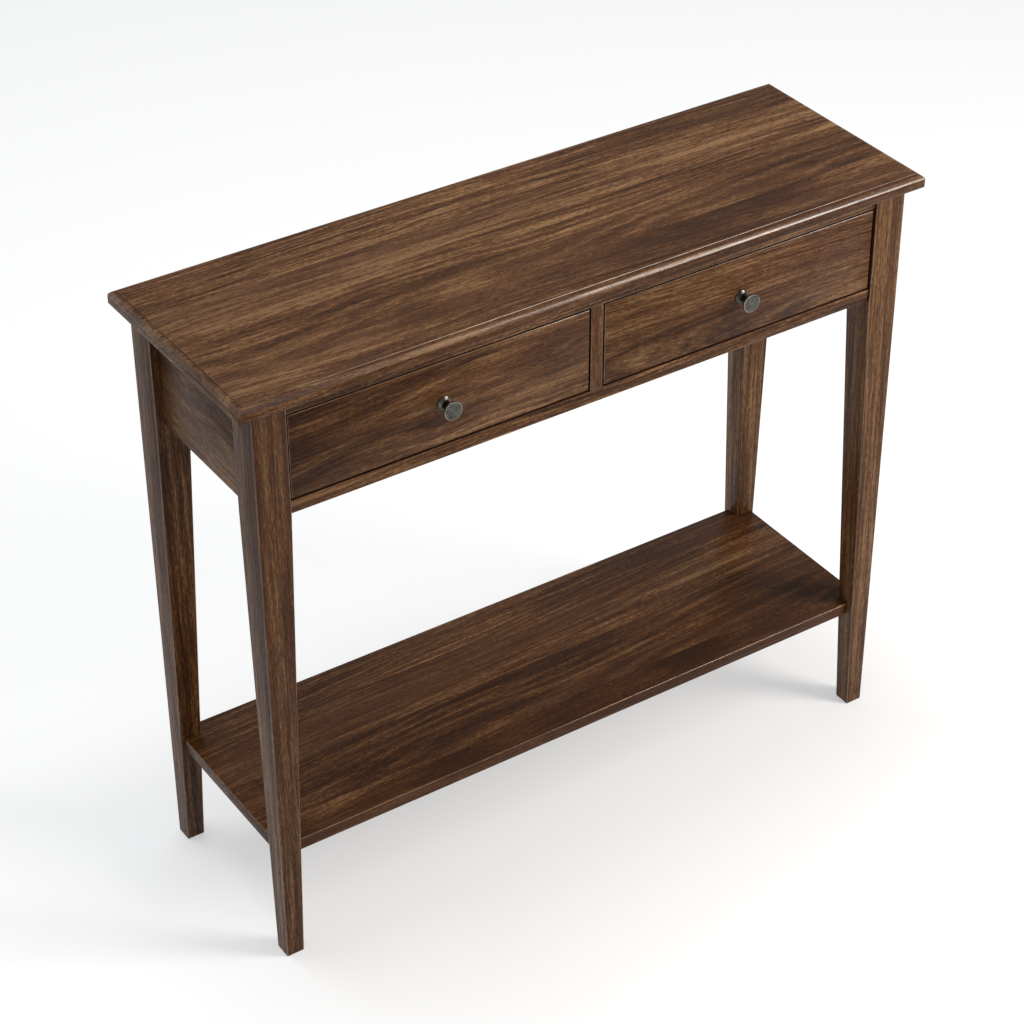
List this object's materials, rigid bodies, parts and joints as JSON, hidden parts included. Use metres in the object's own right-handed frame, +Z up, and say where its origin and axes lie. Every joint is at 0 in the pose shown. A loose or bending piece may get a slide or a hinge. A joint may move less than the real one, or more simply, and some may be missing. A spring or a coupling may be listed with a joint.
{
  "type": "console table",
  "caption": "Long narrow hall console table in dark walnut, with a moulded top, tapered square legs, inset drawers with round metal knobs, and a low shelf.",
  "frame": {"origin": "on the floor under the middle of the whole table's box, knobs included, so the middle of the top is 3.5 mm behind it", "axes": "+Z up, +X along the table's length to the right for someone facing the drawers, -Y the way the drawers open"},
  "size_m": [1, 0.331, 0.857],
  "materials": {
    "walnut": "dark walnut stain under a satin lacquer",
    "drawer_front": "figured dark walnut under a satin lacquer",
    "inner_wood": "plain pale hardwood, lightly sealed",
    "plywood": "thin birch plywood, lightly sealed",
    "pewter": "dark antique pewter, polished where it is touched",
    "steel": "zinc-plated steel"
  },
  "bodies": {
    "frame": {"table_top": "walnut", "leg_front_left": "walnut", "shelf_dowel_front_left": "inner_wood", "leg_back_left": "walnut", "shelf_dowel_back_left": "inner_wood", "apron_left": "walnut", "runner_left_outer": "inner_wood", "kicker_left_outer": "inner_wood", "runner_left_inner": "inner_wood", "kicker_left_inner": "inner_wood", "guide_left": "inner_wood", "stop_left": "inner_wood", "leg_front_right": "walnut", "shelf_dowel_front_right": "inner_wood", "leg_back_right": "walnut", "shelf_dowel_back_right": "inner_wood", "apron_right": "walnut", "runner_right_outer": "inner_wood", "kicker_right_outer": "inner_wood", "runner_right_inner": "inner_wood", "kicker_right_inner": "inner_wood", "guide_right": "inner_wood", "stop_right": "inner_wood", "apron_back": "walnut", "rail_top": "walnut", "rail_bottom": "walnut", "centre_stile": "walnut", "centre_divider": "inner_wood", "top_screw_1": "steel", "top_screw_2": "steel", "top_screw_3": "steel", "top_screw_4": "steel", "top_screw_5": "steel", "top_screw_6": "steel", "top_screw_7": "steel", "top_screw_8": "steel", "shelf": "walnut"},
    "left_drawer": {"drawer_left_front": "drawer_front", "drawer_left_side_outer": "inner_wood", "drawer_left_side_inner": "inner_wood", "drawer_left_back": "inner_wood", "drawer_left_bottom": "plywood", "drawer_left_knob": "pewter", "drawer_left_knob_bolt": "steel", "drawer_left_catch": "inner_wood", "drawer_left_catch_screw": "steel"},
    "right_drawer": {"drawer_right_front": "drawer_front", "drawer_right_side_outer": "inner_wood", "drawer_right_side_inner": "inner_wood", "drawer_right_back": "inner_wood", "drawer_right_bottom": "plywood", "drawer_right_knob": "pewter", "drawer_right_knob_bolt": "steel", "drawer_right_catch": "inner_wood", "drawer_right_catch_screw": "steel"}
  },
  "joints": [
    {"name": "left_drawer_slide", "type": "slide", "parent": "frame", "child": "left_drawer", "axis": [0, -1, 0], "range_m": [0, 0.197]},
    {"name": "right_drawer_slide", "type": "slide", "parent": "frame", "child": "right_drawer", "axis": [0, -1, 0], "range_m": [0, 0.197]}
  ]
}
